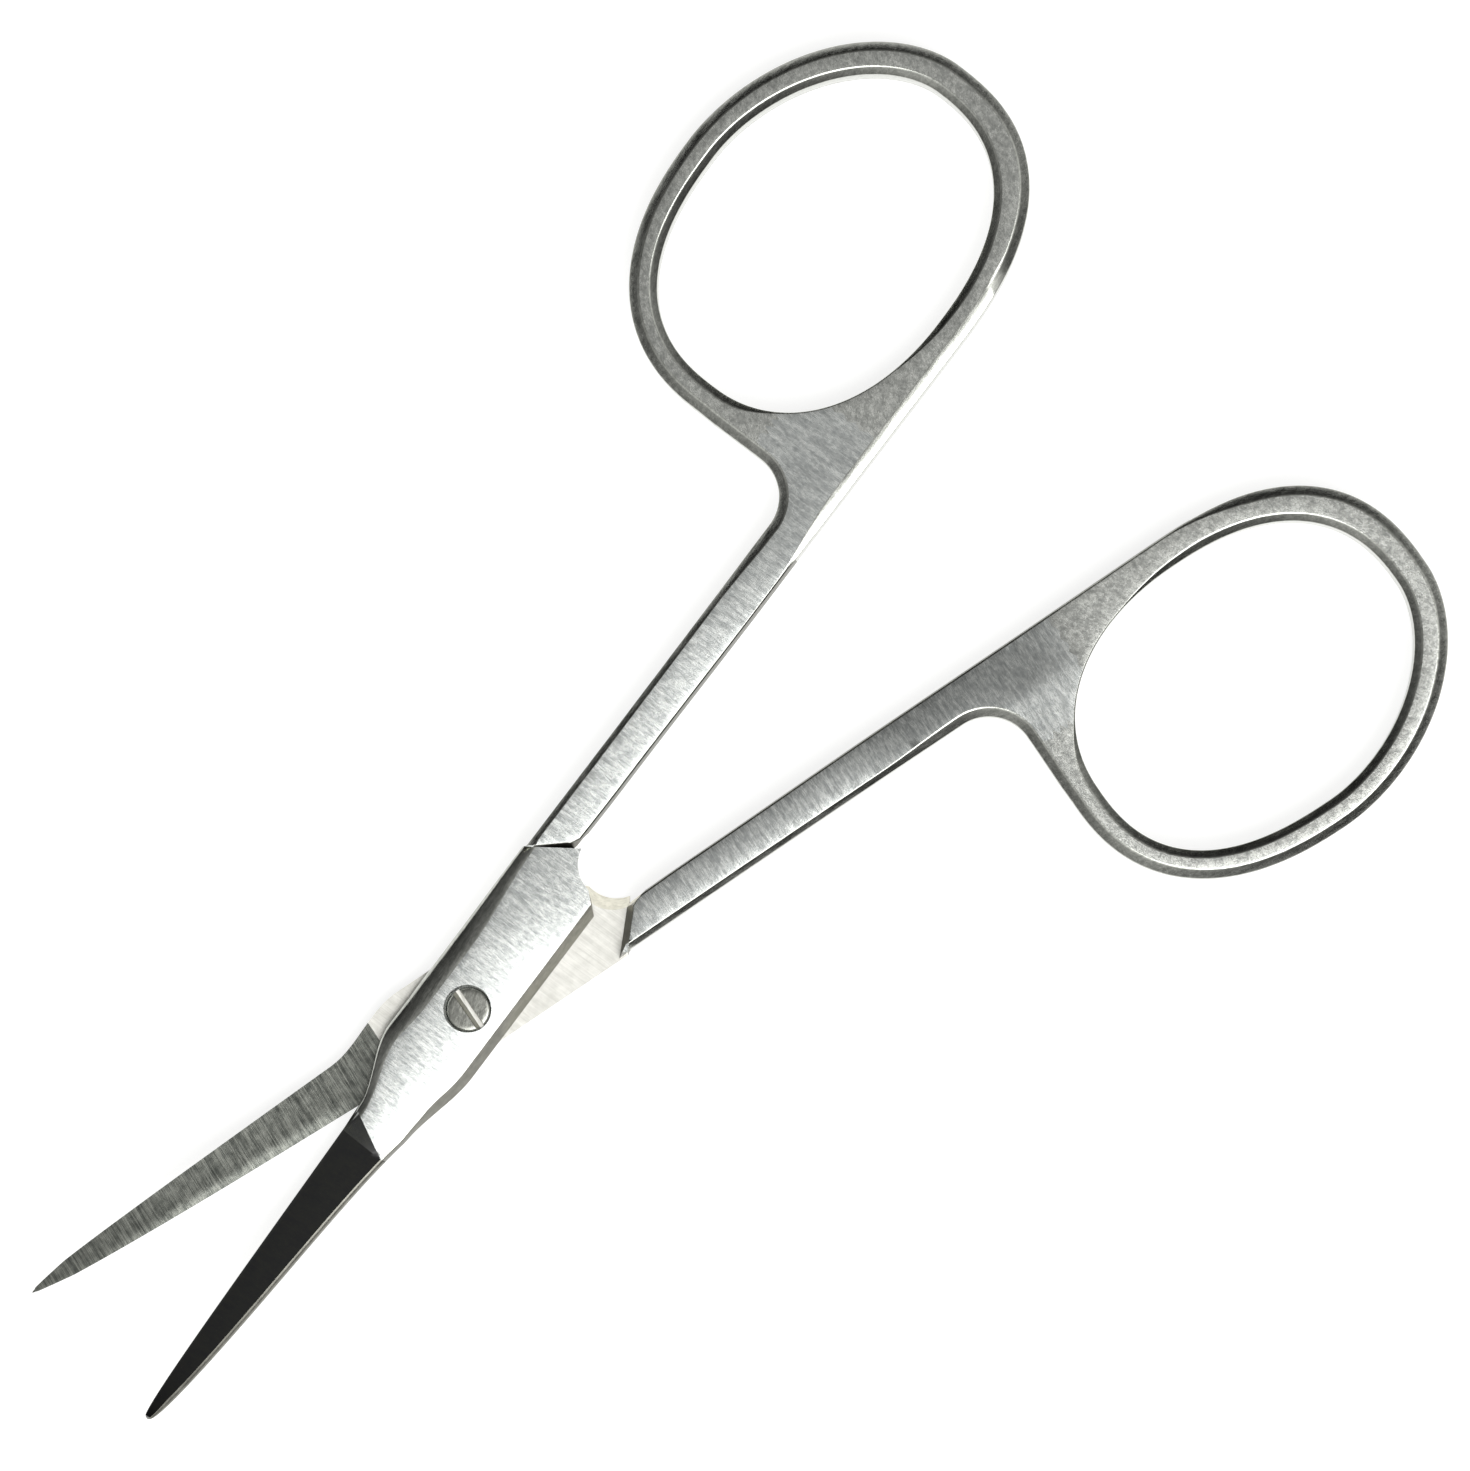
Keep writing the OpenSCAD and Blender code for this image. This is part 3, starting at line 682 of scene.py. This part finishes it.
def screw(name):
    """Slotted screw from its threaded foot up, drawn about the pivot in the shared frame."""
    top, lower = 2 * BLOCK_T - HEAD_SINK, BLOCK_T - FLOOR
    base, r = top - HEAD_T, HEAD_D / 2
    bm = bmesh.new()
    lathe(bm, [(0.02, 0), (THREAD_D / 2 - 0.08, 0), (THREAD_D / 2, 0.08), (THREAD_D / 2, lower),
               (JOURNAL_D / 2, lower), (JOURNAL_D / 2, base), (r - 0.03, base), (r, base + 0.03),
               (r, top - 0.14), (r - 0.02, top - 0.1), (r - 0.11, top - 0.015),
               (r - 0.15, top - 0.004), (0.9, top), (0.02, top)])
    for face in bm.faces:
        face.material_index = SCREW
    piece = as_object(name, bm, sharp=24)
    # the slot has burred lips, and a bottom worn aslant by screwdrivers, which takes the pale ride
    # finish as a painted highlight
    w, d, lip = SLOT_W / 2, SLOT_DEPTH, 0.03
    line = [(-w - lip, 0.2), (-w - lip, 0), (-w, -0.04), (-w + 0.02, -d), (w * 0.1, -d),
            (w * 0.55, -d * 0.72), (w, -0.04), (w + lip, 0), (w + lip, 0.2)]
    slot = bmesh.new()
    loft(slot, [[(x, y, top + z) for y, z in line] for x in (-3, 3)],
         lambda i, j: RIDE if j in (3, 4, 5) else SCREW)
    slot.transform(Matrix.Rotation(math.radians(SLOT_ANGLE), 4, "Z"))
    carve(piece, as_object("slot", slot))
    piece.data.set_sharp_from_angle(angle=math.radians(24))
    return placed(piece, Matrix.Scale(MM, 4))


# --- The pieces ---------------------------------------------------------------------
upper = half(UPPER, "upper_half_forging")
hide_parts("upper_half")
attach(upper, "upper")
lower = half(LOWER, "lower_half_forging")
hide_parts("lower_half")
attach(lower, "lower")
pin = screw("slotted_pivot_screw")
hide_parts("pivot_screw")
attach(pin, "lower")

# --- Floor, light and camera ------------------------------------------------------
FLOOR_Z = (BLOCK_T - HALF_T) * MM
MIDDLE = Vector((0.015, 0, 0))
PAPER_GLOW = 0.8


def make_floor():
    """White paper under the scissors: it looks white in the picture and in the steel,
    and adds little light of its own."""
    bm = bmesh.new()
    bmesh.ops.create_grid(bm, x_segments=1, y_segments=1, size=0.6)
    mesh = bpy.data.meshes.new("floor")
    bm.to_mesh(mesh)
    bm.free()
    floor = bpy.data.objects.new("floor", mesh)
    bpy.context.scene.collection.objects.link(floor)
    floor.location = MIDDLE + Vector((0, 0, FLOOR_Z - 0.02 * MM))
    paper = bpy.data.materials.new("white_paper")
    paper.use_nodes = True
    tree = paper.node_tree
    shader = tree.nodes["Principled BSDF"]
    shader.inputs["Base Color"].default_value = linear("#b4b4b2")
    shader.inputs["Roughness"].default_value = 0.9
    shader.inputs["Specular IOR Level"].default_value = 0.2
    path = node(tree, "ShaderNodeLightPath").outputs
    seen = node(tree, "ShaderNodeMath", {
        0: path["Is Camera Ray"], 1: path["Is Glossy Ray"]}, operation="MAXIMUM")
    seen = node(tree, "ShaderNodeMath", {
        0: seen.outputs[0], 1: path["Is Transmission Ray"]}, operation="MAXIMUM")
    glow = node(tree, "ShaderNodeMath", {0: seen.outputs[0], 1: PAPER_GLOW}, operation="MULTIPLY")
    shader.inputs["Emission Color"].default_value = (1, 1, 1, 1)
    tree.links.new(glow.outputs[0], shader.inputs["Emission Strength"])
    mesh.materials.append(paper)


# Level of the dim studio by how far a direction leans to the front (-Y), from -1 to
# 1, and how it fades toward the horizon
PANEL = ((-1.0, 0.06), (-0.6, 0.09), (-0.35, 0.14), (-0.2, 0.24), (-0.1, 0.37), (0.0, 0.47),
         (0.1, 0.64), (0.2, 0.85), (0.4, 0.9), (0.7, 0.5), (1.0, 0.12))


def studio():
    """A dim studio with one broad soft panel toward -Y and a weak one at the left."""
    world = bpy.data.worlds.new("studio")
    bpy.context.scene.world = world
    world.use_nodes = True
    tree = world.node_tree
    tree.nodes.clear()
    place = node(tree, "ShaderNodeTexCoord").outputs["Generated"]
    way = node(tree, "ShaderNodeSeparateXYZ", {0: place}).outputs
    at = node(tree, "ShaderNodeMapRange", {"Value": way["Y"], "From Min": 1.0, "From Max": -1.0})
    ramp = node(tree, "ShaderNodeValToRGB", {"Fac": at.outputs[0]})
    stops = ramp.color_ramp.elements
    stops.remove(stops[1])
    for x, level in PANEL:
        stop = stops[0] if x == -1 else stops.new((x + 1) / 2)
        stop.color = (level, level, level, 1)
    left = node(tree, "ShaderNodeMapRange", {
        "Value": way["X"], "From Min": -0.7, "From Max": -0.1, "To Min": 0.3, "To Max": 0})
    both = node(tree, "ShaderNodeMath", {
        0: ramp.outputs["Color"], 1: left.outputs[0]}, operation="ADD")
    fade = node(tree, "ShaderNodeMapRange", {
        "Value": way["Z"], "From Min": 0.1, "From Max": 0.7, "To Min": 0.25})
    level = node(tree, "ShaderNodeMath", {
        0: both.outputs[0], 1: fade.outputs[0]}, operation="MULTIPLY").outputs[0]
    path = node(tree, "ShaderNodeLightPath").outputs
    lit = node(tree, "ShaderNodeBackground", {"Color": (1, 1, 0.985, 1), "Strength": level})
    plain = node(tree, "ShaderNodeBackground", {"Color": (1, 1, 1, 1), "Strength": 1.0})
    both = node(tree, "ShaderNodeMixShader", {
        0: path["Is Camera Ray"], 1: lit.outputs[0], 2: plain.outputs[0]})
    node(tree, "ShaderNodeOutputWorld", {"Surface": both.outputs[0]})


def lamp(name, way, distance, size, watts):
    """A square lamp that shines on the scissors from a direction, sizes in metres."""
    data = bpy.data.lights.new(name, "AREA")
    data.size, data.energy = size, watts
    obj = bpy.data.objects.new(name, data)
    bpy.context.scene.collection.objects.link(obj)
    way = Vector(way).normalized()
    obj.location = MIDDLE + way * distance
    obj.rotation_euler = way.to_track_quat("Z", "Y").to_euler()


# The camera looks almost straight down. The photo is 1470 x 1471 points, with 17.5 of
# them to the millimetre at the height of the shanks' upper faces, and the pivot is at
# PIVOT_AT in it. Distance and height are in mm, tilt and turn in degrees.
PHOTO, SCALE, PIVOT_AT = (1470, 1471), 17.5, (468.5, 1009.5)
DISTANCE, TARGET_Z, TILT, TURN = 450, 2.7, 2.6, 43.5
SENSOR = 36


def make_camera():
    """Camera over the middle of the picture, turned so that the blades point down left."""
    a = math.radians(TURN)
    c, s = math.cos(a), math.sin(a)
    dx, dy = (PHOTO[0] / 2 - PIVOT_AT[0]) / SCALE, (PIVOT_AT[1] - PHOTO[1] / 2) / SCALE
    target = Vector((dx * c + dy * s, dy * c - dx * s, TARGET_Z)) * MM
    t = math.radians(TILT)
    back = Vector((0, -math.sin(t), math.cos(t)))
    right = Vector((c, -s, 0))
    right = (right - back * right.dot(back)).normalized()
    up = back.cross(right)
    data = bpy.data.cameras.new("camera")
    data.sensor_width = SENSOR
    data.lens = SENSOR * SCALE * DISTANCE / PHOTO[0]
    data.clip_start = 0.01
    camera = bpy.data.objects.new("camera", data)
    bpy.context.scene.collection.objects.link(camera)
    pose = Matrix((right, up, back)).transposed().to_4x4()
    pose.translation = target + back * DISTANCE * MM
    camera.matrix_world = pose
    bpy.context.scene.camera = camera


make_floor()
studio()
lamp("softbox", (-0.05, -0.47, 0.88), 0.5, 0.36, 1.6)
make_camera()
bpy.context.scene.view_settings.view_transform = "Standard"
